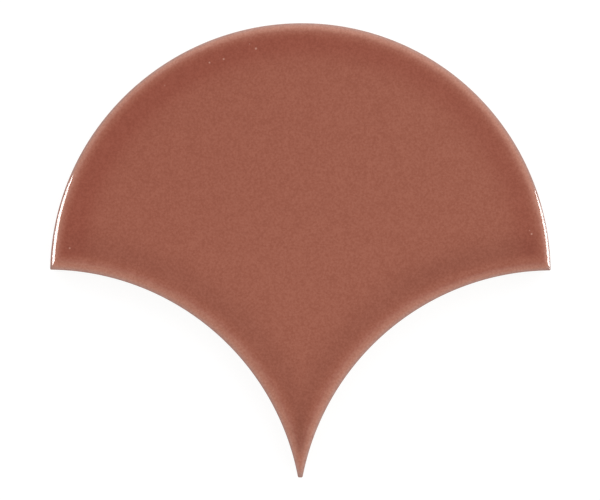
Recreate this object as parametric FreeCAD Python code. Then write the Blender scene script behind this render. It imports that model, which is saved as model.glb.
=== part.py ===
"""Fish scale wall tile, pressed and fired in one piece: round head, hollow flanks and blunt, narrow tail.

Millimetres. +Z points out of the glazed face and +Y towards the crown of the head. The origin is the
middle of the tile's box, on the flat back that goes into the adhesive.
"""
import FreeCAD, Part
import math
import os

# Outline, set by the way the tiles nest: each head lies between the flanks of two tiles of the next row
HEAD_RADIUS = 60.0
LAYING_JOINT = 1.0  # left open between a head and the flanks around it
ROW_RISE = 60.2  # from the middles of one row of heads to those of the next
TAIL_WIDTH = 1.1  # blunt end of the tail

# Section
THICKNESS = 9.0
HEAD_RIM_WIDTH = 2.05  # how far in from the head's wall the face starts to roll down
FLANK_RIM_WIDTH = 3.0  # the same along the flanks, where the roll is gentler
RIM_DROP = 1.0  # height lost from the face to the top of the upright wall
RIM_NOSE_SHARE = 0.42  # radius of the tight turn into the wall, as a share of the drop
BACK_ARRIS = 0.4  # small bevel round the back

# Key on the back: straight grooves that the adhesive grips
KEY_DEPTH = 0.7
KEY_WIDTH = 4.0  # of a groove at its mouth
KEY_LAND = 4.0  # flat left between two grooves
KEY_DRAFT = 0.5  # each side of a groove leans in by this much at its floor
KEY_BORDER = 5.0  # plain margin round the grooves

# Derived sizes, with the middle of the head as the zero of the outline
FLANK_RADIUS = HEAD_RADIUS + LAYING_JOINT
FLANK_X = HEAD_RADIUS + LAYING_JOINT / 2
TAIL_Y = math.sqrt(FLANK_RADIUS**2 - (FLANK_X - TAIL_WIDTH / 2) ** 2) - ROW_RISE
HEAD_Y = -(HEAD_RADIUS + TAIL_Y) / 2  # middle of the head in the tile's own frame
REACH = 4 * HEAD_RADIUS  # well past the outline on every side
RIM_NOSE = min(RIM_NOSE_SHARE, 0.9) * min(RIM_DROP, HEAD_RIM_WIDTH, FLANK_RIM_WIDTH)

UP = FreeCAD.Vector(0, 0, 1)
CENTRE = FreeCAD.Vector(0, 0, 0)


def section(rim_width, far):
    """Section of the slab in the XZ plane: its wall is at x = 0 and the clay reaches from there to x = -far.

    Over the width of the rim the face turns down in a wide shoulder arc, then in a tight nose arc into the
    wall, each tangent to the next.
    """
    reach = rim_width - RIM_NOSE
    shoulder = (reach**2 + RIM_DROP**2 - RIM_NOSE**2) / (2 * (RIM_DROP - RIM_NOSE))
    nose_x = -RIM_NOSE
    nose_z = THICKNESS - RIM_DROP
    shoulder_x = -rim_width
    shoulder_z = THICKNESS - shoulder
    turn = math.atan2(nose_z - shoulder_z, nose_x - shoulder_x)

    def on_arc(x, z, radius, angle):
        return FreeCAD.Vector(x + radius * math.cos(angle), 0, z + radius * math.sin(angle))

    bed = FreeCAD.Vector(-BACK_ARRIS, 0, 0)
    wall_foot = FreeCAD.Vector(0, 0, BACK_ARRIS)
    wall_top = on_arc(nose_x, nose_z, RIM_NOSE, 0)
    nose_middle = on_arc(nose_x, nose_z, RIM_NOSE, turn / 2)
    nose_end = on_arc(nose_x, nose_z, RIM_NOSE, turn)
    shoulder_middle = on_arc(shoulder_x, shoulder_z, shoulder, (turn + math.pi / 2) / 2)
    face_start = on_arc(shoulder_x, shoulder_z, shoulder, math.pi / 2)
    face_end = FreeCAD.Vector(-far, 0, THICKNESS)
    bed_end = FreeCAD.Vector(-far, 0, 0)
    edges = [
        Part.makeLine(bed, wall_foot),
        Part.makeLine(wall_foot, wall_top),
        Part.Arc(wall_top, nose_middle, nose_end).toShape(),
        Part.Arc(nose_end, shoulder_middle, face_start).toShape(),
        Part.makeLine(face_start, face_end),
        Part.makeLine(face_end, bed_end),
        Part.makeLine(bed_end, bed),
    ]
    return Part.Face(Part.Wire(edges))


def head_slab():
    """Round slab of the head, turned about its middle."""
    profile = section(HEAD_RIM_WIDTH, HEAD_RADIUS)
    profile.translate(FreeCAD.Vector(HEAD_RADIUS, 0, 0))
    return profile.revolve(CENTRE, UP, 360)


def flank_slab(side):
    """Wide slab with a round hole whose rim is one hollow flank: left for side -1, right for side 1."""
    profile = section(FLANK_RIM_WIDTH, REACH)
    profile.rotate(CENTRE, UP, 180)
    profile.translate(FreeCAD.Vector(FLANK_RADIUS, 0, 0))
    slab = profile.revolve(CENTRE, UP, 360)
    slab.translate(FreeCAD.Vector(side * FLANK_X, -ROW_RISE, 0))
    return slab


def tail_slab():
    """Straight slab whose rim, across the tile, is the blunt end of the tail."""
    profile = section(HEAD_RIM_WIDTH, REACH)
    profile.rotate(CENTRE, UP, -90)
    slab = profile.extrude(FreeCAD.Vector(2 * REACH, 0, 0))
    slab.translate(FreeCAD.Vector(-REACH, TAIL_Y, 0))
    return slab


def half_width(y, margin):
    """Half the tile's width at height y on the outline, drawn in by a margin all round."""
    head = HEAD_RADIUS - margin
    flank = FLANK_RADIUS + margin
    half = math.sqrt(max(head**2 - y**2, 0))
    if abs(y + ROW_RISE) < flank:
        half = min(half, FLANK_X - math.sqrt(flank**2 - (y + ROW_RISE) ** 2))
    return half


def key_groove(y, half):
    """Groove across the back at height y, half long to each side. Its four sides lean in to its floor."""
    mouth = KEY_WIDTH / 2
    draft = min(KEY_DRAFT, 0.8 * mouth)
    floor = mouth - draft
    end = half - draft
    groove = Part.makeWedge(-half, 0, -mouth, -floor, -end, half, KEY_DEPTH, mouth, floor, end)
    groove.rotate(CENTRE, FreeCAD.Vector(1, 0, 0), 90)
    groove.translate(FreeCAD.Vector(0, y, 0))
    return groove


def key_grooves():
    """All the grooves, in even steps from the middle of the tile's box, each as long as the margin allows."""
    pitch = KEY_WIDTH + KEY_LAND
    rows = math.ceil(HEAD_RADIUS / pitch)
    grooves = []
    for row in range(-rows, rows):
        y = (row + 0.5) * pitch - HEAD_Y
        half = min(half_width(y - KEY_WIDTH / 2, KEY_BORDER), half_width(y + KEY_WIDTH / 2, KEY_BORDER))
        if half > KEY_WIDTH:
            grooves.append(key_groove(y, half))
    return grooves


def fish_scale_tile():
    """The whole tile: all the rims leave the wall at one height, so they meet in mitres at the corners."""
    tile = head_slab()
    for slab in (flank_slab(-1), flank_slab(1), tail_slab()):
        tile = tile.common(slab)
    tile = tile.cut(key_grooves())
    tile = tile.Solids[0]
    tile.translate(FreeCAD.Vector(0, HEAD_Y, 0))
    return tile


os.makedirs("parts", exist_ok=True)
fish_scale_tile().exportStep("parts/fish_scale_tile.step")
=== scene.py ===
"""Looks of a glazed fish scale wall tile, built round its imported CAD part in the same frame.

The tile is one fired piece, so it is one closed mesh with two finishes: the glaze on its face, rolled edge
and upper wall, and the bare clay below the glaze line and on the back. Lengths are millimetres until a mesh
is made. A plan is an array of points, with one row of x and y for each.
"""

import logging
import math
from collections.abc import Callable, Sequence
from dataclasses import dataclass, field
from enum import Enum, IntEnum
from typing import Any

import bmesh
import bpy
import numpy as np
from mathutils import Matrix, Vector, noise
from mathutils.geometry import delaunay_2d_cdt


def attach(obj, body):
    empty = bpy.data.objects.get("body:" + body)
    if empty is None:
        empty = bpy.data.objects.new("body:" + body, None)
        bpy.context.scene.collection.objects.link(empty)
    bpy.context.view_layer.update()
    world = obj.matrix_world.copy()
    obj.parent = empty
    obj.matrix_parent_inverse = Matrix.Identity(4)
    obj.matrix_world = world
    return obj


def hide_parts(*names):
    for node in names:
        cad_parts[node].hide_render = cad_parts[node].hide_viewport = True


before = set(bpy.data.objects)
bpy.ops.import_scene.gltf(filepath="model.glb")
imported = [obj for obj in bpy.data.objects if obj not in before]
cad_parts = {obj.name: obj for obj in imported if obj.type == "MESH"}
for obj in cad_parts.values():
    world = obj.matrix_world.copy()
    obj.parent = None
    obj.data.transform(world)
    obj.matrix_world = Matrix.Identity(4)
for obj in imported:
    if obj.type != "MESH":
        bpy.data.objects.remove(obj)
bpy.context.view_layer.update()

MM = 0.001
TILE_NODE = "fish_scale_tile"
LOG = logging.getLogger(TILE_NODE)
Measure = float | np.ndarray  # one for all points, or one for each


class Finish(IntEnum):
    """Order of the tile's two finishes in its material slots."""

    GLAZE = 0
    CLAY = 1


class Mark(Enum):
    """What the glaze needs to know at each point of the skin, kept as mesh attributes."""

    DEPTH = "glaze_depth"
    # How red the glaze gathers, together with the red of the painted shade along the flanks and tail
    RED = "glaze_red"
    # Painted shade along the flanks and at the tail
    DARK = "glaze_dark"
    PIT = "glaze_pit"


def linear(colour: str) -> tuple[float, float, float, float]:
    """Turns an sRGB hex colour into linear light.

    Args:
        colour: Six hex digits after a hash.

    Returns:
        Red, green, blue and an alpha of 1.
    """
    parts = (int(colour[i : i + 2], 16) / 255 for i in (1, 3, 5))
    red, green, blue = (c / 12.92 if c <= 0.04045 else ((c + 0.055) / 1.055) ** 2.4 for c in parts)
    return red, green, blue, 1.0


def per_mm(size: float) -> float:
    """Scale of a pattern on object coordinates whose features are about size millimetres across."""
    return 1.0 / (size * MM)


def add_node(
    tree: bpy.types.NodeTree,
    kind: str,
    inputs: dict[str | int, Any] | None = None,
    out: str | int = 0,
    **settings: Any,
) -> bpy.types.NodeSocket | None:
    """Adds a node with its settings and links.

    Args:
        tree: Node tree that gets the node.
        kind: Blender's name for the kind of node, without the ShaderNode that they all start with.
        inputs: Values, or output sockets to link, by the input's name or number.
        out: Name or number of the output to go on from.
        settings: Properties of the node. "stops" fills a colour ramp with (position, hex colour) pairs.

    Returns:
        That output, or None from a node that has none.
    """
    node = tree.nodes.new("ShaderNode" + kind)
    stops = settings.pop("stops", None)
    for name, value in settings.items():
        setattr(node, name, value)
    for key, value in (inputs or {}).items():
        if isinstance(value, bpy.types.NodeSocket):
            tree.links.new(value, node.inputs[key])
        else:
            node.inputs[key].default_value = value
    if stops:
        elements = node.color_ramp.elements
        while len(elements) < len(stops):
            elements.new(1.0)
        for element, (position, colour) in zip(elements, stops):
            element.position = position
            element.color = linear(colour)
    return node.outputs[out] if node.outputs else None


def empty_material(name: str) -> tuple[bpy.types.Material, bpy.types.NodeTree]:
    """Makes a material whose node tree is empty.

    Args:
        name: Name of the material.

    Returns:
        The material and its node tree.
    """
    material = bpy.data.materials.new(name)
    material.use_nodes = True
    material.node_tree.nodes.clear()
    return material, material.node_tree


def add_object(name: str, data: bpy.types.ID) -> bpy.types.Object:
    """Adds an object to the scene.

    Args:
        name: Name of the object.
        data: Its mesh, lamp or lens.

    Returns:
        The object.
    """
    made = bpy.data.objects.new(name, data)
    bpy.context.scene.collection.objects.link(made)
    return made


def ways(angles: np.ndarray) -> np.ndarray:
    """Plan of the unit directions at angles in radians."""
    return np.column_stack((np.cos(angles), np.sin(angles)))


def bell(distance: np.ndarray, reach: float) -> np.ndarray:
    """Bell curve: 1 at no distance, and about a third of that at its reach."""
    return np.exp(-((distance / reach) ** 2))


def eased(share: np.ndarray) -> np.ndarray:
    """Shares from 0 to 1, eased at both ends."""
    return share * share * (3 - 2 * share)


def soft_least(first: np.ndarray, second: np.ndarray, softness: float) -> np.ndarray:
    """Lesser of two distances, eased where they differ by less than the softness."""
    near = np.maximum(softness - np.abs(first - second), 0) / softness
    return np.minimum(first, second) - near**2 * softness / 4


def noise_at(plan: np.ndarray, layer: float) -> np.ndarray:
    """Smooth noise at each point, about one bump to the unit. Each layer has its own pattern."""
    return np.array([noise.noise((x, y, layer)) for x, y in plan])


def graded(length: float, fine: float, coarse: float, growth: float = 0.25) -> np.ndarray:
    """Steps along a line, short at both ends and growing to a limit between them.

    Args:
        length: Length of the line.
        fine: Step at the ends.
        coarse: Longest step.
        growth: How much the step grows with the distance from an end.

    Returns:
        Distances from the start, from 0 to length.
    """
    steps = [0.0]
    while steps[-1] < length / 2:
        steps.append(steps[-1] + min(fine + growth * steps[-1], coarse))
    half = np.array(steps) * (length / 2 / steps[-1])
    return np.concatenate((half, length - half[-2::-1]))


def thinned(plan: np.ndarray, gap: float) -> np.ndarray:
    """Drops points that crowd an earlier one.

    Args:
        plan: Points, the ones to keep first.
        gap: Least distance between two points.

    Returns:
        Plan of the points that are left.
    """
    taken: dict[tuple[int, int], tuple[float, float]] = {}
    kept = []
    for x, y in plan.tolist():
        cell_x, cell_y = math.floor(x / gap), math.floor(y / gap)
        around = (taken.get((cell_x + i, cell_y + j)) for i in (-1, 0, 1) for j in (-1, 0, 1))
        if any(spot and math.hypot(x - spot[0], y - spot[1]) < gap for spot in around):
            continue
        taken[cell_x, cell_y] = (x, y)
        kept.append((x, y))
    return np.array(kept)


def triangulate(plan: np.ndarray, outer: np.ndarray, holes: Sequence[np.ndarray] = ()) -> np.ndarray:
    """Fills a flat outline with triangles whose corners are the given points.

    Args:
        plan: Points of the edges and between them.
        outer: Numbers of the points of the outer edge.
        holes: Numbers of the points round each hole.

    Returns:
        Triangles, counter-clockwise, one row of three point numbers each.
    """
    loops = [loop.tolist() for loop in (outer, *holes)]
    spots = [Vector(point) for point in plan.tolist()]
    inside_only, tolerance = 1, 1e-7
    _, _, faces, origins, _, owners = delaunay_2d_cdt(spots, [], loops, inside_only, tolerance, True)
    first = [origin[0] for origin in origins]
    kept = [face for face, owner in zip(faces, owners) if owner == [0]]
    return np.array([[first[corner] for corner in face] for face in kept])


@dataclass(frozen=True)
class Outline:
    """Plan of the tile: a round head, two hollow flanks and a blunt tail, in the tile's own frame.

    Every point's depth is its distance in from the nearest edge. Where two edges meet, the two distances run
    into each other softly, which rounds the corners and eases the mitres of the rolled edge, as firing does.
    """

    head_radius: float = 60.0
    laying_joint: float = 1.0  # left open between a head and the flanks around it
    row_rise: float = 60.2  # from the middles of one row of heads to those of the next
    tail_width: float = 1.1
    softness: float = 0.35  # difference below which two edges' distances run together
    out_of_round: float = 0.1  # how far firing drew the head out of its circle
    lobes: int = 3  # how many times round the head it did so
    tail_lean: float = 0.05  # how far firing drew the tail to the left
    corner_step: float = 0.06  # between the edge's points at a corner
    edge_step: float = 0.45  # between them elsewhere
    tail_steps: int = 6  # across the tail's end
    inward_steps: int = 4  # in which a line goes from the edge to its depth
    probe: float = 1e-4  # length over which a slope is measured
    least_slope: float = 0.2  # keeps a point from jumping where two edges' slopes cancel out

    @property
    def flank_radius(self) -> float:
        """Radius of the hollow flanks."""
        return self.head_radius + self.laying_joint

    @property
    def flank_x(self) -> float:
        """Distance of each flank's middle from the tile's middle line."""
        return self.head_radius + self.laying_joint / 2

    @property
    def tail_rise(self) -> float:
        """Height of the tail's end above the flanks' middles."""
        return math.sqrt(self.flank_radius**2 - (self.flank_x - self.tail_width / 2) ** 2)

    @property
    def head_y(self) -> float:
        """Height of the head's middle in the tile's frame, whose zero is the middle of the tile's box."""
        return -(self.head_radius + self.tail_rise - self.row_rise) / 2

    @property
    def flank_y(self) -> float:
        """Height of the flanks' middles in the tile's frame."""
        return self.head_y - self.row_rise

    @property
    def tail_y(self) -> float:
        """Height of the tail's end in the tile's frame."""
        return self.flank_y + self.tail_rise

    def head_reach(self, angle: np.ndarray) -> np.ndarray:
        """Radius of the head at each angle about its middle, a hair's breadth out of round."""
        return self.head_radius - self.out_of_round * np.cos(self.lobes * angle)

    def edge_distances(self, plan: np.ndarray) -> tuple[np.ndarray, np.ndarray, np.ndarray, np.ndarray]:
        """Distances in from each edge.

        Args:
            plan: Points to measure.

        Returns:
            Distances in from the head, the left flank, the right flank and the tail's end.
        """
        x, y = plan[:, 0], plan[:, 1]
        head = self.head_reach(np.arctan2(y - self.head_y, x)) - np.hypot(x, y - self.head_y)
        left, right = (
            np.hypot(x + self.tail_lean + side * self.flank_x, y - self.flank_y) - self.flank_radius
            for side in (1, -1)
        )
        return head, left, right, y - self.tail_y

    def depth(
        self,
        plan: np.ndarray,
        softness: float | None = None,
        on_flank: Callable[[Measure], Measure] | None = None,
    ) -> np.ndarray:
        """Depth in from the edge.

        Args:
            plan: Points to measure.
            softness: Easing between edges, or None for the outline's own.
            on_flank: What a distance in from a flank counts for, if not for itself.

        Returns:
            One depth for each point, below zero outside the tile.
        """
        ease = softness or self.softness
        head, left, right, tail = self.edge_distances(plan)
        if on_flank:
            left, right = on_flank(left), on_flank(right)
        flanks = soft_least(left, right, ease)
        return soft_least(soft_least(head, flanks, ease), tail, ease)

    def settle(self, plan: np.ndarray, depth: float, rounds: int) -> np.ndarray:
        """Moves points straight in or out until they lie at one depth.

        Args:
            plan: Points to move.
            depth: Depth in from the edge.
            rounds: How many times each point is moved.

        Returns:
            Plan of the moved points.
        """
        plan = plan.copy()
        for _ in range(rounds):
            here = self.depth(plan)
            slope_x = (self.depth(plan + (self.probe, 0)) - here) / self.probe
            slope_y = (self.depth(plan + (0, self.probe)) - here) / self.probe
            move = (depth - here) / np.maximum(slope_x**2 + slope_y**2, self.least_slope)
            plan += np.column_stack((slope_x, slope_y)) * move[:, None]
        return plan

    def corner(self, head_depth: float, flank_depth: float) -> np.ndarray:
        """Point at the left corner.

        Args:
            head_depth: Its distance in from the head's edge.
            flank_depth: Its distance in from the left flank's edge.

        Returns:
            Its x and y.
        """
        head, flank = self.head_radius - head_depth, self.flank_radius + flank_depth
        span = math.hypot(self.flank_x, self.row_rise)
        along = (head**2 - flank**2 + span**2) / (2 * span)
        across = math.sqrt(head**2 - along**2)
        to_flank = np.array((-self.flank_x, -self.row_rise)) / span
        outward = np.array((to_flank[1], -to_flank[0]))
        return np.array((0, self.head_y)) + to_flank * along + outward * across

    def edge_angles(self) -> tuple[np.ndarray, np.ndarray]:
        """Angles of the edge's points, close together near the corners and wider apart between them.

        Returns:
            Angles about the head's middle from the right corner to the left one, and about the left flank's
            middle from the left corner to the tail.
        """
        corner = self.corner(0.0, 0.0)
        start = math.atan2(corner[1] - self.head_y, -corner[0])
        head = graded(self.head_radius * (math.pi - 2 * start), self.corner_step, self.edge_step)
        top = math.atan2(corner[1] - self.flank_y, corner[0] + self.flank_x)
        end = math.atan2(self.tail_rise, self.flank_x - self.tail_width / 2)
        flank = graded(self.flank_radius * (top - end), self.corner_step, self.edge_step)
        return head / self.head_radius + start, top - flank / self.flank_radius

    def loop(self, depth: float) -> np.ndarray:
        """Closed line at one depth, counter-clockwise from the right corner.

        Args:
            depth: Depth in from the edge, less than half the tail's width.

        Returns:
            Plan of the line.
        """
        head_angles, flank_angles = self.edge_angles()
        head = ways(head_angles) * self.head_radius + (0, self.head_y)
        left = ways(flank_angles) * self.flank_radius + (-self.flank_x, self.flank_y)
        right = left[::-1] * (-1, 1)
        shares = np.linspace(-0.5, 0.5, self.tail_steps + 1)[1:-1]
        tail = shares[:, None] * (self.tail_width, 0) + (0, self.tail_y)
        line = self.settle(np.concatenate((head[:-1], left, tail, right[:-1])), 0.0, rounds=8)
        for share in np.linspace(0, 1, self.inward_steps + 1)[1:]:
            line = self.settle(line, depth * share, rounds=4)
        return line


@dataclass(frozen=True)
class RolledEdge:
    """Section of a rim: the face turns down over a wide shoulder, then over a tight nose into the wall."""

    width: float
    thickness: float = 9.0
    drop: float = 1.0  # from the face to the top of the wall
    nose: float = 0.42  # radius of the tight turn into the wall

    @property
    def foot(self) -> float:
        """Height of the top of the wall, where the nose starts."""
        return self.thickness - self.drop

    @property
    def shoulder(self) -> float:
        """Radius of the shoulder, which is tangent to the face and to the nose."""
        reach = self.width - self.nose
        return (reach**2 + self.drop**2 - self.nose**2) / (2 * (self.drop - self.nose))

    @property
    def turn(self) -> float:
        """Slope of the rim where the nose takes over from the shoulder, in radians from level."""
        return math.asin((self.width - self.nose) / (self.shoulder - self.nose))

    def nose_depths(self, count: int) -> np.ndarray:
        """Depths up the nose, from the top of the wall to the shoulder, at even turns of slope."""
        return self.nose * (1 - np.cos(np.linspace(0, math.pi / 2 - self.turn, count)))

    def shoulder_depths(self, count: int) -> np.ndarray:
        """Depths across the shoulder, from the nose to the face, at even turns of slope."""
        return self.width - self.shoulder * np.sin(np.linspace(self.turn, 0, count))

    def height(self, depth: Measure) -> Measure:
        """Height of the nose, the shoulder or the face.

        Args:
            depth: Depths in from the wall.

        Returns:
            One height for each depth.
        """
        nose = self.foot + np.sqrt(self.nose**2 - np.clip(self.nose - depth, 0, self.nose) ** 2)
        centre = self.thickness - self.shoulder
        shoulder = centre + np.sqrt(self.shoulder**2 - np.clip(self.width - depth, 0, self.width) ** 2)
        return np.where(depth < self.nose * (1 - math.sin(self.turn)), nose, shoulder)

    def depth_at(self, height: Measure) -> Measure:
        """Depth at which the rim has a height, the inverse of height.

        Args:
            height: Heights between the top of the wall and the face.

        Returns:
            One depth for each height.
        """
        nose = self.nose - np.sqrt(np.maximum(self.nose**2 - (height - self.foot) ** 2, 0))
        above = height - self.thickness + self.shoulder
        shoulder = self.width - np.sqrt(np.maximum(self.shoulder**2 - above**2, 0))
        return np.where(height < self.foot + self.nose * math.cos(self.turn), nose, shoulder)


@dataclass(frozen=True)
class Rim:
    """Rolled edge all round the face, tighter round the head and across the tail than along the flanks."""

    outline: Outline = Outline()
    head: RolledEdge = RolledEdge(width=2.05)
    flank: RolledEdge = RolledEdge(width=3.0)

    def on_flank(self, distance: Measure) -> Measure:
        """Depth at which the head's roll is as high as a flank's wider one is at each distance."""
        rolled = np.clip(distance, 0, self.flank.width)
        return self.head.depth_at(self.flank.height(rolled)) + distance - rolled

    def depth(self, plan: np.ndarray, softness: float | None = None) -> np.ndarray:
        """Depth in from the edge, counted along the flanks by the height of their roll."""
        return self.outline.depth(plan, softness, self.on_flank)


@dataclass(frozen=True)
class Pinhole:
    """Small crater left where a bubble broke through the melted glaze."""

    x: float
    y: float
    across: float
    deep: float
    clay_depth: float = 0.03  # a crater this deep is bare at its bottom
    roundness: float = 1.5  # of its bowl
    rings: tuple[float, ...] = (0.25, 0.5, 0.75, 1.0, 1.35)  # of points round its middle, in its radii
    ring_points: int = 12

    @property
    def bare(self) -> float:
        """How much of the clay shows at its bottom."""
        return min(self.deep / self.clay_depth, 1.0)

    def ring(self, share: float) -> np.ndarray:
        """Plan of a circle round the crater, at a share of its radius and turned by as much."""
        angles = np.arange(self.ring_points) * (2 * math.pi / self.ring_points) + share
        return ways(angles) * (self.across / 2 * share) + (self.x, self.y)

    def away(self, plan: np.ndarray) -> np.ndarray:
        """Distance of each point from the crater's middle, in its radii."""
        return np.hypot(plan[:, 0] - self.x, plan[:, 1] - self.y) / (self.across / 2)

    def bowl(self, plan: np.ndarray) -> np.ndarray:
        """How far the crater takes each point down, from 0 outside it to 1 at its bottom."""
        return np.clip(1 - self.away(plan) ** 2, 0, 1) ** self.roundness


@dataclass(frozen=True)
class Run:
    """Stretch of the rim, by its angle about the head's middle, where the glaze's colour is shifted.

    Behind the edge its colour turns sooner from the light line to that of the face, and the painted shade
    along a flank is stronger there; the very edge may be taken towards the painted dark line. Angles are in
    degrees.
    """

    angle: float
    spread: float
    more: float  # share that it adds to the depth the colour goes by, behind the edge
    less: float = 0.0  # share of that depth that the very edge lacks, which darkens it towards the painted dark line
    behind: float = 1.4  # depth where it adds most
    lip: float = 0.5  # depth to which the very edge reaches

    def lobe(self, angle: np.ndarray) -> np.ndarray:
        """How much each angle lies in the run, from 0 to 1."""
        return bell(angle - self.angle, self.spread)

    def extra(self, angle: np.ndarray, depth: np.ndarray) -> np.ndarray:
        """Share that the run adds to the depth the glaze's colour goes by.

        Args:
            angle: Angles of the points.
            depth: Their depths in from the edge.

        Returns:
            One share for each point, below zero where the very edge is taken towards the painted dark line.
        """
        rise = (depth / self.behind) ** 2
        gain = self.more * rise * np.exp(1 - rise)
        return self.lobe(angle) * (gain - self.less * bell(depth, self.lip))


@dataclass(frozen=True)
class GlazeFlow:
    """How the melted glaze lies: thin on the edges, and gathered most of all 4 to 5 mm behind them.

    Along the head it gathers into a deeper red, more so on the left, and the upper left of the face is redder
    too.
    Along the flanks the band is painted shade, darker and a little redder, and that painted shade is darkest
    where their rims close in on the tail.
    """

    start: float = 1.1  # depth where it starts to gather
    rise: float = 3.0  # from there to where it is fully gathered
    hold: float = 4.8  # depth up to which it stays gathered
    fade: float = 3.8  # from there to where it has mostly levelled out
    head_red: float = 0.8
    lean_red: float = 0.2  # how much redder it is at the far left of the head
    upper_left_red: float = 0.3  # how much redder the upper left of the face is
    upper_left_span: float = 1.2  # over which that builds up, in radii of the head
    # Painted shade along the flanks: how much redder and darker their band is made
    flank_shade_red: float = 0.19
    flank_painted_shade: float = 0.2
    flank_cover: float = 1.2  # how much sooner the coat is full on a flank's roll than on the head's
    # Painted shade at the tail, where the flanks' rims close in: how much redder and darker it is made
    tail_shade_red: float = 0.5
    tail_painted_shade: float = 1.2
    tail_near: float = 1.9  # distance in from both flanks where the tail's painted shade has built up
    tail_far: float = 5.0  # distance where it has got lighter again
    mitre: float = 1.2  # softness with which the thin edges meet
    runs: tuple[Run, ...] = (
        Run(angle=138.0, spread=26.0, more=0.36, less=0.75),
        Run(angle=3.0, spread=12.0, more=0.45),
        Run(angle=-90.0, spread=10.0, more=0.2),
    )

    def marks(self, plan: np.ndarray, rim: Rim) -> dict[Mark, np.ndarray]:
        """Works out where the glaze is thin, where it gathers and where shade is painted on it.

        Args:
            plan: Points of the face.
            rim: Rolled edge round the face.

        Returns:
            The depths that the colour goes by, the gathered red with the painted shade's red, and the painted
            shade's grey.
        """
        outline = rim.outline
        head, left, right, _ = outline.edge_distances(plan)
        flank = rim.on_flank(np.minimum(left, right))
        full = eased(np.clip((np.minimum(head, flank) - self.start) / self.rise, 0, 1))
        past_head, past_flank = (np.maximum(side - self.hold, 0) for side in (head, flank))
        by_head, by_flank = full * bell(past_head, self.fade), full * bell(past_flank, self.fade)
        # Where the painted shade at the tail lies, between the flanks' rims
        tail = np.ones(len(plan))
        for side in (left, right):
            tail *= bell(side, self.tail_far) * (1 - bell(side, self.tail_near))
        leftward, upward = -plan[:, 0] / outline.head_radius, plan[:, 1] / outline.head_radius
        upper_left = full * np.clip((leftward + upward) / self.upper_left_span, 0, 1)
        angle = np.degrees(np.arctan2(plan[:, 1] - outline.head_y, plan[:, 0]))
        along_head = (1 + self.lean_red * leftward) * by_head
        # The band along the flanks is painted shade, stronger in the runs
        flank_shade = (1 + sum(run.more * run.lobe(angle) for run in self.runs)) * by_flank
        red = self.head_red * along_head + self.upper_left_red * upper_left
        # Painted shade: the red of the flanks and of the tail
        red += self.flank_shade_red * flank_shade + self.tail_shade_red * tail
        # Painted shade: the grey of the flanks and of the tail
        dark = self.flank_painted_shade * flank_shade + self.tail_painted_shade * tail
        depth = outline.depth(plan, self.mitre, lambda side: self.flank_cover * rim.on_flank(side))
        cover = 1 + sum(run.extra(angle, depth) for run in self.runs)
        return {Mark.DEPTH: cover * depth, Mark.RED: red, Mark.DARK: dark}


@dataclass
class Skin:
    """Points and faces of one closed mesh while it is put together.

    Points that come closer than the weld, as in the tight corners of the wall, become one.
    """

    points: list[np.ndarray] = field(default_factory=list)
    marks: dict[Mark, list[np.ndarray]] = field(default_factory=lambda: {mark: [] for mark in Mark})
    faces: list[tuple[int, ...]] = field(default_factory=list)
    finishes: list[int] = field(default_factory=list)
    weld: float = 0.01
    crisp: float = 50.0  # an edge that turns by more than this many degrees isn't shaded smooth

    def add_points(
        self, plan: np.ndarray, height: Measure, marks: dict[Mark, Measure] | None = None
    ) -> np.ndarray:
        """Adds points.

        Args:
            plan: Points to add.
            height: Height of each point, or of all.
            marks: Marks of each point, or of all. A mark left out is 0.

        Returns:
            The points' numbers.
        """
        start, size = sum(map(len, self.points)), len(plan)
        self.points.append(np.column_stack((plan, np.broadcast_to(height, size))))
        for mark, values in self.marks.items():
            values.append(np.broadcast_to((marks or {}).get(mark, 0.0), size))
        return np.arange(start, start + size)

    def plan(self, numbers: np.ndarray) -> np.ndarray:
        """Plan of the points with these numbers."""
        return np.concatenate(self.points)[numbers, :2]

    def add_faces(self, faces: np.ndarray, finish: Finish) -> None:
        """Adds faces of one finish, one row of point numbers each."""
        self.faces.extend(tuple(face) for face in faces.tolist())
        self.finishes.extend([int(finish)] * len(faces))

    def bridge(self, lower: np.ndarray, upper: np.ndarray, finish: Finish) -> None:
        """Joins two closed counter-clockwise lines, by their points' numbers, with a band of faces."""
        self.add_faces(np.column_stack((lower, np.roll(lower, -1), np.roll(upper, -1), upper)), finish)

    def mesh(self, name: str) -> bpy.types.Mesh:
        """Makes the mesh, in metres.

        Args:
            name: Name of the mesh.

        Returns:
            The mesh, with its finishes and marks set.
        """
        made = bpy.data.meshes.new(name)
        made.from_pydata((np.concatenate(self.points) * MM).tolist(), [], self.faces, shade_flat=False)
        made.polygons.foreach_set("material_index", self.finishes)
        for mark, values in self.marks.items():
            attribute = made.attributes.new(mark.value, "FLOAT", "POINT")
            attribute.data.foreach_set("value", np.concatenate(values).astype(np.float32))
        shape = bmesh.new()
        shape.from_mesh(made)
        bmesh.ops.remove_doubles(shape, verts=shape.verts, dist=self.weld * MM)
        shape.to_mesh(made)
        shape.free()
        made.set_sharp_from_angle(angle=math.radians(self.crisp))
        return made


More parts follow.
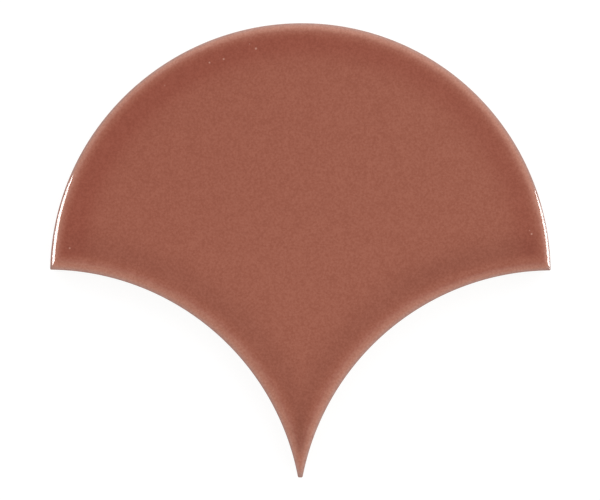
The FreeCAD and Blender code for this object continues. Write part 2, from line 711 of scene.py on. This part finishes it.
@dataclass(frozen=True)
class TerracottaGlaze:
    """Fired gloss glaze in a pinkish terracotta, poured over pressed clay.

    It melts to a smooth glassy skin. It runs thin over the rolled edge, where the pale clay shows through it
    as a light line, and gathers just inside the edge, where it looks deeper and darker than on the open face.
    Its colour also holds painted shade: a darker, greyer line along the very edge, and a darker band along
    the flanks and at the tail.
    """

    name: str = "terracotta_glaze_fired_gloss"
    thin: tuple[tuple[float, str], ...] = (  # its colour by the depth in from the edge
        # The first two stops are painted shade: a darker, greyer line along the very edge
        (0.0, "#98766B"),
        (0.14, "#A47B6F"),
        (0.35, "#AE7D6E"),
        (0.7, "#B17661"),
        (1.2, "#AF6F5A"),
        (1.65, "#A96C58"),
        (2.0, "#A36250"),
        (2.5, "#9F5D49"),
        (3.2, "#9C5945"),
    )
    thin_reach: float = 4.0  # depth at the end of the colour ramp
    red: str = "#EFD8D3"  # tint where it gathers red, and of the red in the painted shade along the flanks and at the tail
    dark: str = "#D1D2CE"  # grey tint of the painted shade along the flanks and at the tail
    pit: str = "#C48F7D"  # clay at the bottom of a crater
    ior: float = 1.52
    roughness: float = 0.05
    wander: float = 5.0  # size of the patches in which the coat is thicker or thinner
    wander_share: float = 0.1  # by which it is so
    grain: float = 0.51  # coarser than the real grains of oxide, which are too fine to show in the render
    grain_tint: tuple[float, float, float] = (0.09, 0.155, 0.19)  # how far they change red, green and blue
    mottle: float = 2.6  # size of the clouds of darker and lighter grains
    mottle_weight: float = 0.26  # of the clouds beside the grains
    speckle: tuple[float, float] = (0.46, 0.80)  # sums of both that give the darkest and lightest specks
    peel: float = 2.4  # size of the waves of its orange peel
    peel_height: float = 0.004

    def material(self) -> bpy.types.Material:
        """Builds the glaze.

        Returns:
            The material.
        """
        material, tree = empty_material(self.name)
        place = add_node(tree, "TexCoord", out="Object")
        depth, red, dark, pit = (
            add_node(tree, "Attribute", out="Fac", attribute_name=mark.value)
            for mark in (Mark.DEPTH, Mark.RED, Mark.DARK, Mark.PIT)
        )

        # The coat's depth wanders a little, so the light line and the dark band are nowhere quite even
        wander = add_node(
            tree, "TexNoise", {"Vector": place, "Scale": per_mm(self.wander), "Detail": 2.0, "Roughness": 0.5}
        )
        least, most = 1 - self.wander_share, 1 + self.wander_share
        spread = add_node(
            tree,
            "MapRange",
            {"Value": wander, "From Min": 0.2, "From Max": 0.8, "To Min": least, "To Max": most},
        )
        uneven = add_node(tree, "Math", {0: depth, 1: spread}, operation="MULTIPLY")
        share = add_node(tree, "Math", {0: uneven, 1: self.thin_reach}, operation="DIVIDE")
        stops = [(position / self.thin_reach, colour) for position, colour in self.thin]
        body = add_node(tree, "ValToRGB", {"Fac": share}, stops=stops)
        # The red tint holds the glaze's gathering and part of the painted shade; the grey tint is painted
        # shade
        for pool, tint in ((red, self.red), (dark, self.dark)):
            inputs = {0: pool, 6: body, 7: linear(tint)}
            body = add_node(tree, "Mix", inputs, out=2, data_type="RGBA", blend_type="MULTIPLY")

        # Grain of the colouring oxides over a coarser mottle
        grain, mottle = (
            add_node(
                tree, "TexNoise", {"Vector": place, "Scale": per_mm(size), "Detail": 2.0, "Roughness": 0.6}
            )
            for size in (self.grain, self.mottle)
        )
        both = add_node(
            tree, "Math", {0: mottle, 1: self.mottle_weight, 2: grain}, operation="MULTIPLY_ADD"
        )
        darkest, lightest = self.speckle
        speckle = add_node(
            tree,
            "MapRange",
            {"Value": both, "From Min": darkest, "From Max": lightest, "To Min": -1.0, "To Max": 1.0},
        )
        inputs = {0: speckle, 1: self.grain_tint, 2: (1.0, 1.0, 1.0)}
        tint = add_node(tree, "VectorMath", inputs, operation="MULTIPLY_ADD")
        speckled = add_node(tree, "VectorMath", {0: body, 1: tint}, operation="MULTIPLY")
        colour = add_node(
            tree, "Mix", {0: pit, 6: speckled, 7: linear(self.pit)}, out=2, data_type="RGBA"
        )

        # Slight orange peel of a glaze that cooled before it was quite level
        peel = add_node(
            tree, "TexNoise", {"Vector": place, "Scale": per_mm(self.peel), "Detail": 1.0, "Roughness": 0.4}
        )
        relief = add_node(tree, "Bump", {"Height": peel, "Strength": 1.0, "Distance": self.peel_height * MM})
        shader = add_node(
            tree,
            "BsdfPrincipled",
            {"Base Color": colour, "Normal": relief, "Roughness": self.roughness, "IOR": self.ior},
        )
        add_node(tree, "OutputMaterial", {"Surface": shader})
        return material


@dataclass(frozen=True)
class BareClay:
    """Pale wall tile clay, pressed dry and fired without glaze.

    It is chalky and matt, with a fine sandy grain, a few darker grains of iron, and duller patches where it
    lay on the kiln shelf.
    """

    name: str = "pale_clay_pressed_biscuit"
    light: str = "#D8C6AF"
    dark: str = "#C3AC92"
    iron: str = "#8A6A52"
    ior: float = 1.5
    roughness: float = 0.88
    patch: float = 11.0  # size of the duller patches
    sand: float = 0.45  # coarser than the real sand, which is too fine to show in the render
    sand_height: float = 0.04
    iron_spacing: float = 1.6
    iron_share: float = 0.7  # how far a grain of iron hides the clay

    def material(self) -> bpy.types.Material:
        """Builds the clay.

        Returns:
            The material.
        """
        material, tree = empty_material(self.name)
        place = add_node(tree, "TexCoord", out="Object")
        patch = add_node(
            tree, "TexNoise", {"Vector": place, "Scale": per_mm(self.patch), "Detail": 4.0, "Roughness": 0.6}
        )
        sand = add_node(
            tree, "TexNoise", {"Vector": place, "Scale": per_mm(self.sand), "Detail": 3.0, "Roughness": 0.65}
        )
        both = add_node(tree, "Math", {0: patch, 1: sand}, operation="ADD")
        share = add_node(tree, "MapRange", {"Value": both, "From Min": 0.75, "From Max": 1.25})
        inputs = {0: share, 6: linear(self.dark), 7: linear(self.light)}
        body = add_node(tree, "Mix", inputs, out=2, data_type="RGBA")

        # A grain of iron is a small spot at the middle of each cell
        cell = add_node(tree, "TexVoronoi", {"Vector": place, "Scale": per_mm(self.iron_spacing)})
        spot = add_node(
            tree,
            "MapRange",
            {"Value": cell, "From Min": 0.05, "From Max": 0.13, "To Min": self.iron_share, "To Max": 0.0},
        )
        colour = add_node(tree, "Mix", {0: spot, 6: body, 7: linear(self.iron)}, out=2, data_type="RGBA")
        relief = add_node(tree, "Bump", {"Height": sand, "Strength": 1.0, "Distance": self.sand_height * MM})
        shader = add_node(
            tree,
            "BsdfPrincipled",
            {"Base Color": colour, "Normal": relief, "Roughness": self.roughness, "IOR": self.ior},
        )
        add_node(tree, "OutputMaterial", {"Surface": shader})
        return material


@dataclass(frozen=True)
class WhitePaper:
    """Matt white paper sweep.

    It looks evenly white to the camera and in the gloss, and still shows the tile's soft shadow.
    """

    name: str = "white_paper_sweep_matt"
    colour: str = "#8B8B8B"  # grey, because the glow adds the rest of its white
    glow: float = 0.82

    def material(self) -> bpy.types.Material:
        """Builds the paper.

        Returns:
            The material.
        """
        material, tree = empty_material(self.name)
        path = add_node(tree, "LightPath").node.outputs
        seen = path["Is Camera Ray"]
        for ray in ("Is Glossy Ray", "Is Transmission Ray"):
            seen = add_node(tree, "Math", {0: seen, 1: path[ray]}, operation="MAXIMUM")
        glow = add_node(tree, "Math", {0: seen, 1: self.glow}, operation="MULTIPLY")
        light = add_node(tree, "Emission", {"Color": linear("#FFFFFF"), "Strength": glow})
        paper = add_node(tree, "BsdfDiffuse", {"Color": linear(self.colour)})
        both = add_node(tree, "AddShader", {0: paper, 1: light})
        add_node(tree, "OutputMaterial", {"Surface": both})
        return material


@dataclass(frozen=True)
class TileSide:
    """Side of the tile: the back's bevel, the bare clay, the lip of the glaze, its wall and the nose."""

    rim: Rim
    coat: float = 0.12  # how far the bare clay stands back behind the glaze
    bevel: tuple[tuple[float, float], ...] = ((0.4, 0.0), (0.22, 0.064), (0.17, 0.2))  # depths and heights
    bevel_top: float = 0.44  # height where the bevel runs out into the wall
    clay_shares: tuple[float, ...] = (0.35, 0.7)  # of the glaze line's height, where the clay has lines
    glaze_line: float = 4.6  # height of the glaze's lower end
    wander: float = 1.5  # how far that goes up and down
    wander_size: float = 13.0  # length of its slow swings
    drip: float = 0.35  # share of its short drips
    drip_size: float = 4.0  # length of these
    undercut: float = 0.04  # height of the step under the glaze's lip
    # Depths, and heights above the glaze line, of the lines over the lip
    lip: tuple[tuple[float, float], ...] = ((0.084, 0.0), (0.03, 0.07), (0.0, 0.22), (0.0, 0.6))
    nose_rows: int = 6
    cover: float = 0.3  # depth that the glaze's colour goes by at the top of the nose
    cover_rise: float = 0.75  # how fast that grows down the wall

    def rows(self, glaze_line: np.ndarray) -> list[tuple[float, Measure, Finish]]:
        """Lines round the side, from the back up.

        Args:
            glaze_line: Height of the glaze's lower end at each point.

        Returns:
            Depth and height of each line, and the finish of the band below it.
        """
        clay = [*self.bevel, (self.coat, self.bevel_top)]
        clay += [(self.coat, share * glaze_line) for share in self.clay_shares]
        clay.append((self.coat, glaze_line - self.undercut))
        glaze = [(depth, glaze_line + above) for depth, above in self.lip]
        glaze.append((0.0, (glaze[-1][1] + self.rim.head.foot) / 2))
        nose = self.rim.head.nose_depths(self.nose_rows)
        glaze += zip(nose, self.rim.head.height(nose))
        return [(*row, Finish.CLAY) for row in clay] + [(*row, Finish.GLAZE) for row in glaze]

    def build(self, skin: Skin) -> tuple[np.ndarray, np.ndarray]:
        """Builds the side.

        Args:
            skin: Mesh in the making.

        Returns:
            Numbers of the points of the back's edge and of the nose's upper end.
        """
        outline, edge = self.rim.outline, self.rim.head
        around = outline.loop(0.0)
        wander = noise_at(around / self.wander_size, layer=2.0)
        wander += self.drip * noise_at(around / self.drip_size, layer=9.0)
        rows = self.rows(self.glaze_line + self.wander * wander)
        plans = {depth: outline.loop(depth) for depth in {row[0] for row in rows}}
        rings: list[np.ndarray] = []
        for depth, height, finish in rows:
            down = np.maximum(edge.foot + edge.nose - height, 0)
            marks = {Mark.DEPTH: self.cover + self.cover_rise * down}
            rings.append(skin.add_points(plans[depth], height, marks))
            if len(rings) > 1:
                skin.bridge(rings[-2], rings[-1], finish)
        return rings[0], rings[-1]


@dataclass(frozen=True)
class GlazedFace:
    """Top of the tile inside the nose: the shoulder and the open face, with slow waves and a few craters."""

    rim: Rim
    flow: GlazeFlow = GlazeFlow()
    wave: float = 0.035  # height of the slow waves
    wave_length: float = 17.0
    ripple: float = 0.3  # share of the shorter waves
    ripple_rate: float = 2.7  # of them to a slow one
    wave_fade: float = 5.0  # depth up to which the edge holds the waves down
    shoulder_rows: int = 18
    nose_rows: int = 9  # on a flank's nose
    nose_last: int = 3  # of those, past the side's last line
    face_rows: tuple[float, float] = (0.45, 1.0)  # behind a shoulder
    row_softness: float = 0.001  # of the place where one edge's rows end and the next one's start
    row_slack: float = 0.02  # by which they may run past it
    mitre_steps: tuple[float, ...] = (1.0, 2.0, 3.0)  # by which a mitre's points go on behind the rows
    ridge_start: float = 0.45  # of the points up the middle of the tail, above its end
    ridge_end: float = 22.0
    ridge_step: float = 0.35
    spacing: float = 0.8  # of the open face's points
    spacing_rise: float = 0.866  # from row to row of them, as a share of the spacing
    open_gap: float = 0.5  # between them and the last row behind the head's shoulder
    side_gap: float = 0.06  # between the face's points and the side
    least_gap: float = 0.045  # between any two points of the face
    hole_room: float = 1.5  # kept for a crater's own points, in its radii
    pinholes: tuple[Pinhole, ...] = (
        Pinhole(-10.81, 48.30, 0.74, 0.026),
        Pinhole(-12.31, 49.40, 0.50, 0.012),
        Pinhole(-18.53, 45.77, 0.66, 0.025),
        Pinhole(-21.92, 44.92, 0.62, 0.024),
        Pinhole(-32.66, 39.40, 0.52, 0.010),
        Pinhole(-55.32, 0.45, 0.64, 0.022),
        Pinhole(54.75, 4.80, 0.46, 0.016),
        Pinhole(55.25, 4.00, 0.64, 0.029),
    )

    def swell(self, plan: np.ndarray, depth: np.ndarray) -> np.ndarray:
        """Slow waves in the melted glaze, which fade out on the rolled edge.

        Args:
            plan: Points of the face.
            depth: Their depths in from the edge.

        Returns:
            Height to add to each point.
        """
        scaled = plan / self.wave_length
        waves = noise_at(scaled, layer=0.0) + self.ripple * noise_at(self.ripple_rate * scaled, layer=5.0)
        fade = np.clip(depth / self.wave_fade, 0, 1)
        # The face lies half a wave lower, which keeps the crests about level with the CAD part's face
        return self.wave * (waves * eased(fade) - fade / 2)

    def row_depths(self) -> tuple[np.ndarray, np.ndarray]:
        """Places of the rows of points along the edges.

        Returns:
            Distances in from the head, and from a flank.
        """
        head = self.rim.head.shoulder_depths(self.shoulder_rows)[1:]
        nose = self.rim.flank.nose_depths(self.nose_rows)[-self.nose_last :]
        flank = np.concatenate((nose, self.rim.flank.shoulder_depths(self.shoulder_rows)[1:]))
        return np.append(head, head[-1] + self.face_rows), np.append(flank, flank[-1] + self.face_rows)

    def row_points(self) -> np.ndarray:
        """Rows of points along the head and the flanks, each up to where another edge is nearer.

        Returns:
            Plan of the points.
        """
        outline = self.rim.outline
        head_angles, flank_angles = outline.edge_angles()
        head_depths, flank_depths = self.row_depths()
        rows = []
        for depth in head_depths:
            reach = outline.head_reach(head_angles)[:, None] - depth
            rows.append((ways(head_angles) * reach + (0, outline.head_y), depth))
        for depth in flank_depths:
            left = ways(flank_angles) * (outline.flank_radius + depth) + (-outline.flank_x, outline.flank_y)
            for line in (left, left * (-1, 1)):
                rows.append((line - (outline.tail_lean, 0), self.rim.on_flank(depth)))
        slack, softness = self.row_slack, self.row_softness
        return np.concatenate([row[self.rim.depth(row, softness) > depth - slack] for row, depth in rows])

    def ridge_points(self) -> np.ndarray:
        """Points along the mitres of the two corners and up the middle of the tail.

        Returns:
            Plan of the points.
        """
        outline = self.rim.outline
        _, depths = self.row_depths()
        depths = np.append(depths, depths[-1] + self.mitre_steps)
        mitre = np.array([outline.corner(self.rim.on_flank(depth), depth) for depth in depths])
        start, end = outline.tail_y + self.ridge_start, outline.tail_y + self.ridge_end
        height = np.arange(start, end, self.ridge_step)
        ridge = np.column_stack((np.full_like(height, -outline.tail_lean), height))
        return np.concatenate((mitre, mitre * (-1, 1), ridge))

    def open_points(self) -> np.ndarray:
        """Even field of points over the open face.

        Returns:
            Plan of the points.
        """
        outline = self.rim.outline
        xs = np.arange(-outline.head_radius, outline.head_radius, self.spacing)
        top = outline.head_y + outline.head_radius
        ys = np.arange(outline.tail_y, top, self.spacing * self.spacing_rise)
        grid = np.array([(x + self.spacing / 2 * (row % 2), y) for row, y in enumerate(ys) for x in xs])
        head_depths, _ = self.row_depths()
        return grid[self.rim.depth(grid) > head_depths[-1] + self.open_gap]

    def points(self) -> np.ndarray:
        """All the points of the face, with the craters' own points in place of those around them.

        Returns:
            Plan of the points.
        """
        plain = np.concatenate((self.ridge_points(), self.row_points(), self.open_points()))
        for hole in self.pinholes:
            plain = plain[hole.away(plain) > self.hole_room]
        middles = [np.array([[hole.x, hole.y]]) for hole in self.pinholes]
        rings = [hole.ring(share) for hole in self.pinholes for share in hole.rings]
        return thinned(np.concatenate((*middles, *rings, plain)), self.least_gap)

    def build(self, skin: Skin, nose_end: np.ndarray) -> None:
        """Builds the face.

        Args:
            skin: Mesh in the making.
            nose_end: Numbers of the points of the nose's upper end.
        """
        outline = self.rim.outline
        start, inner = skin.plan(nose_end), self.points()
        inner = inner[outline.depth(inner) > outline.depth(start).max() + self.side_gap]
        depth = self.rim.depth(inner)
        height = self.rim.head.height(depth) + self.swell(inner, depth)
        pit = np.zeros(len(inner))
        for hole in self.pinholes:
            bowl = hole.bowl(inner)
            height -= hole.deep * bowl
            pit = np.maximum(pit, bowl * hole.bare)
        marks = {**self.flow.marks(inner, self.rim), Mark.PIT: pit}
        numbers = np.concatenate((nose_end, skin.add_points(inner, height, marks)))
        triangles = triangulate(np.concatenate((start, inner)), np.arange(len(nose_end)))
        skin.add_faces(numbers[triangles], Finish.GLAZE)


@dataclass(frozen=True)
class GroovedBack:
    """Flat back with the grooves of its key pressed into it, which the adhesive grips."""

    outline: Outline
    depth: float = 0.7
    width: float = 4.0  # of a groove at its mouth
    land: float = 4.0  # flat left between two grooves
    draft: float = 0.5  # by which each side of a groove leans in at its floor
    border: float = 5.0  # plain margin round the grooves
    corner: float = 0.7  # radius of a mouth's corners
    least_corner: float = 0.15  # radius of the tightest corners further in
    corner_points: int = 6
    soft: float = 0.14  # reach of the eased edges of mouth and floor
    soft_in: float = 0.3  # inset of the line along such an edge, as a share of the reach
    soft_down: float = 0.25  # height of that line, as a share of the reach

    def half_width(self, y: float) -> float:
        """Half the tile's width at a height, drawn in by the plain border.

        Args:
            y: Height in the tile's frame.

        Returns:
            Half the width left inside the border.
        """
        head = self.outline.head_radius - self.border
        flank = self.outline.flank_radius + self.border
        half = math.sqrt(max(head**2 - (y - self.outline.head_y) ** 2, 0))
        above = y - self.outline.flank_y
        if abs(above) < flank:
            half = min(half, self.outline.flank_x - math.sqrt(flank**2 - above**2))
        return half

    def grooves(self) -> list[tuple[float, float]]:
        """Places of the grooves, in even steps from the middle of the tile's box.

        Returns:
            Height and half length of each groove, from the tail up.
        """
        pitch = self.width + self.land
        rows = math.ceil(self.outline.head_radius / pitch)
        found = []
        for row in range(-rows, rows):
            y = (row + 0.5) * pitch
            half = min(self.half_width(y + side * self.width / 2) for side in (-1, 1))
            if half > self.width:
                found.append((y, half))
        return found

    def loop(self, y: float, half: float, inset: float) -> np.ndarray:
        """Rounded rectangle round a groove, counter-clockwise.

        Args:
            y: Height of the groove's middle.
            half: Half its length at the mouth.
            inset: How far in from the mouth's edge the line lies.

        Returns:
            Plan of the line.
        """
        radius = max(self.corner - inset, self.least_corner)
        long, short = half - inset - radius, self.width / 2 - inset - radius
        quarter = np.linspace(0, 90, self.corner_points)
        corners = ((long, short, 0), (-long, short, 90), (-long, -short, 180), (long, -short, 270))
        arcs = [ways(np.radians(start + quarter)) * radius + (x, y + above) for x, above, start in corners]
        return np.concatenate(arcs)

    def rows(self) -> list[tuple[float, float]]:
        """Lines down the side of a groove, eased at its mouth and at its floor.

        Returns:
            Inset and height of each line.
        """
        slope = self.draft / self.depth
        step_in, step_down = self.soft_in * self.soft, self.soft_down * self.soft
        return [
            (-self.soft, 0.0),
            (-step_in, step_down),
            (slope * self.soft, self.soft),
            (slope * (self.depth - self.soft), self.depth - self.soft),
            (self.draft + step_in, self.depth - step_down),
            (self.draft + self.soft, self.depth),
        ]

    def build(self, skin: Skin, foot: np.ndarray) -> None:
        """Builds the back.

        Args:
            skin: Mesh in the making.
            foot: Numbers of the points of the back's edge.
        """
        plans, numbers, mouths = [skin.plan(foot)], [foot], []
        for y, half in self.grooves():
            lines = [self.loop(y, half, inset) for inset, _ in self.rows()]
            rings = [skin.add_points(line, height) for line, (_, height) in zip(lines, self.rows())]
            for outer, inner in zip(rings, rings[1:]):
                skin.bridge(inner, outer, Finish.CLAY)
            floor = triangulate(lines[-1], np.arange(len(lines[-1])))
            skin.add_faces(rings[-1][floor][:, ::-1], Finish.CLAY)
            mouths.append(np.arange(len(lines[0])) + sum(map(len, plans)))
            plans.append(lines[0])
            numbers.append(rings[0])
        triangles = triangulate(np.concatenate(plans), np.arange(len(foot)), mouths)
        skin.add_faces(np.concatenate(numbers)[triangles][:, ::-1], Finish.CLAY)


@dataclass(frozen=True)
class FishScaleTile:
    """The tile: one pressed and fired piece, as one closed mesh."""

    rim: Rim = Rim()
    glaze: TerracottaGlaze = TerracottaGlaze()
    clay: BareClay = BareClay()

    def build(self) -> bpy.types.Object:
        """Builds the tile.

        Returns:
            The tile's object, with no finish yet.
        """
        skin = Skin()
        foot, nose_end = TileSide(self.rim).build(skin)
        GlazedFace(self.rim).build(skin, nose_end)
        GroovedBack(self.rim.outline).build(skin, foot)
        return add_object("glazed_tile", skin.mesh(TILE_NODE + "_skin"))

    def dress(self, piece: bpy.types.Object) -> None:
        """Gives the tile its finishes, in the order of Finish, and its place in the frame.

        Args:
            piece: The tile's object.
        """
        for finish in (self.glaze, self.clay):
            piece.data.materials.append(finish.material())
        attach(piece, "root")
        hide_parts(TILE_NODE)


@dataclass(frozen=True)
class Softbox:
    """Oval softbox that only shows in the gloss, as a crisp white line on the rolled edge.

    Its azimuth is counted from +X towards +Y. wide and high are the half angles that it fills, seen from the
    tile, and roll turns it about its own axis. All are in degrees.
    """

    name: str
    azimuth: float
    elevation: float
    wide: float
    high: float
    power: float  # watts
    roll: float = 0.0
    distance: float = 900.0

    def build(self) -> bpy.types.Object:
        """Sets up the lamp.

        Returns:
            The lamp's object.
        """
        lamp = bpy.data.lights.new(self.name, "AREA")
        lamp.shape = "ELLIPSE"
        lamp.size, lamp.size_y = (
            2 * self.distance * math.tan(math.radians(half)) * MM for half in (self.wide, self.high)
        )
        lamp.energy = self.power
        side, rise = math.radians(self.azimuth), math.radians(self.elevation)
        way = Vector((math.cos(side) * math.cos(rise), math.sin(side) * math.cos(rise), math.sin(rise)))
        rolled = Matrix.Rotation(math.radians(self.roll), 4, "Z")
        facing = way.to_track_quat("Z", "Y").to_matrix().to_4x4() @ rolled
        placed = add_object(self.name, lamp)
        placed.matrix_world = Matrix.Translation(way * self.distance * MM) @ facing
        placed.visible_diffuse = False
        placed.visible_camera = False
        return placed


@dataclass(frozen=True)
class Studio:
    """White floor, soft light from all round and a camera straight above the tile."""

    camera_height: float = 700.0  # above the face
    face_height: float = RolledEdge.thickness
    view_width: float = 143.64  # of the picture, on the face
    view_x: float = -0.19  # of its middle
    view_y: float = 0.08
    view_roll: float = 0.08  # degrees
    sensor: float = 36.0
    paper: WhitePaper = WhitePaper()
    floor_radius: float = 4000.0
    floor_corners: int = 64
    floor_drop: float = 0.05  # below the tile's back
    sky: tuple[tuple[float, str], ...] = ((0.75, "#F9F9F9"), (0.97, "#A0A0A0"))  # by the sine of the height
    sky_strength: float = 1.38
    sky_lean: tuple[float, float, float] = (0.15, 0.32, 0.0)  # how much fuller it is towards +X and +Y
    side_dim: float = 0.3  # how much dimmer it is at the far left and far right
    softboxes: tuple[Softbox, ...] = (
        Softbox("softbox_left", azimuth=172.7, elevation=32.5, wide=16.0, high=10.2, power=8.8, roll=42.0),
        Softbox("softbox_right", azimuth=4.5, elevation=21.0, wide=13.2, high=11.3, power=6.9),
    )

    def build_floor(self) -> bpy.types.Object:
        """Lays a round floor of white paper just below the tile.

        Returns:
            The floor's object.
        """
        turn = np.linspace(0, 2 * math.pi, self.floor_corners, endpoint=False)
        height = np.full(self.floor_corners, -self.floor_drop)
        ring = np.column_stack((ways(turn) * self.floor_radius, height)) * MM
        mesh = bpy.data.meshes.new("floor")
        mesh.from_pydata(ring.tolist(), [], [tuple(range(self.floor_corners))])
        mesh.materials.append(self.paper.material())
        floor = add_object("floor", mesh)
        return floor

    def build_sky(self) -> bpy.types.World:
        """Makes the soft light: bright all round, dimmer straight overhead, fuller beyond the tile's head.

        Returns:
            The world.
        """
        world = bpy.data.worlds.new("soft_studio")
        world.use_nodes = True
        tree = world.node_tree
        tree.nodes.clear()
        way = add_node(tree, "TexCoord", out="Generated")
        parts = add_node(tree, "SeparateXYZ", {0: way}).node.outputs
        rise = add_node(tree, "ValToRGB", {"Fac": parts["Z"]}, stops=self.sky)
        lean = add_node(tree, "VectorMath", {0: way, 1: self.sky_lean}, out="Value", operation="DOT_PRODUCT")
        side = add_node(tree, "Math", {0: parts["X"], 1: 2.0}, operation="POWER")
        change = add_node(tree, "Math", {0: side, 1: -self.side_dim, 2: lean}, operation="MULTIPLY_ADD")
        inputs = {0: change, 1: self.sky_strength, 2: self.sky_strength}
        level = add_node(tree, "Math", inputs, operation="MULTIPLY_ADD")
        light = add_node(tree, "Background", {"Color": rise, "Strength": level})
        add_node(tree, "OutputWorld", {"Surface": light})
        bpy.context.scene.world = world
        return world

    def build_camera(self) -> bpy.types.Object:
        """Hangs the camera straight above the tile, with the head at the top of the picture.

        Returns:
            The camera's object.
        """
        lens = bpy.data.cameras.new("camera")
        lens.sensor_width = self.sensor
        lens.lens = self.sensor * self.camera_height / self.view_width
        lens.clip_start, lens.clip_end = 0.01, 20.0
        camera = add_object("camera", lens)
        camera.location = Vector((self.view_x, self.view_y, self.face_height + self.camera_height)) * MM
        camera.rotation_euler = (0.0, 0.0, math.radians(self.view_roll))
        bpy.context.scene.camera = camera
        return camera

    def build(self) -> None:
        """Sets up the floor, the light and the camera."""
        self.build_floor()
        self.build_sky()
        for softbox in self.softboxes:
            softbox.build()
        self.build_camera()
        bpy.context.scene.view_settings.view_transform = "Standard"


def main() -> None:
    """Builds the tile and the studio."""
    logging.basicConfig(level=logging.INFO, format="%(name)s: %(message)s")
    tile = FishScaleTile()
    piece = tile.build()
    tile.dress(piece)
    LOG.info("%s: %d points, %d faces", piece.name, len(piece.data.vertices), len(piece.data.polygons))
    Studio().build()
    bpy.context.view_layer.update()


if __name__ == "__main__":
    main()
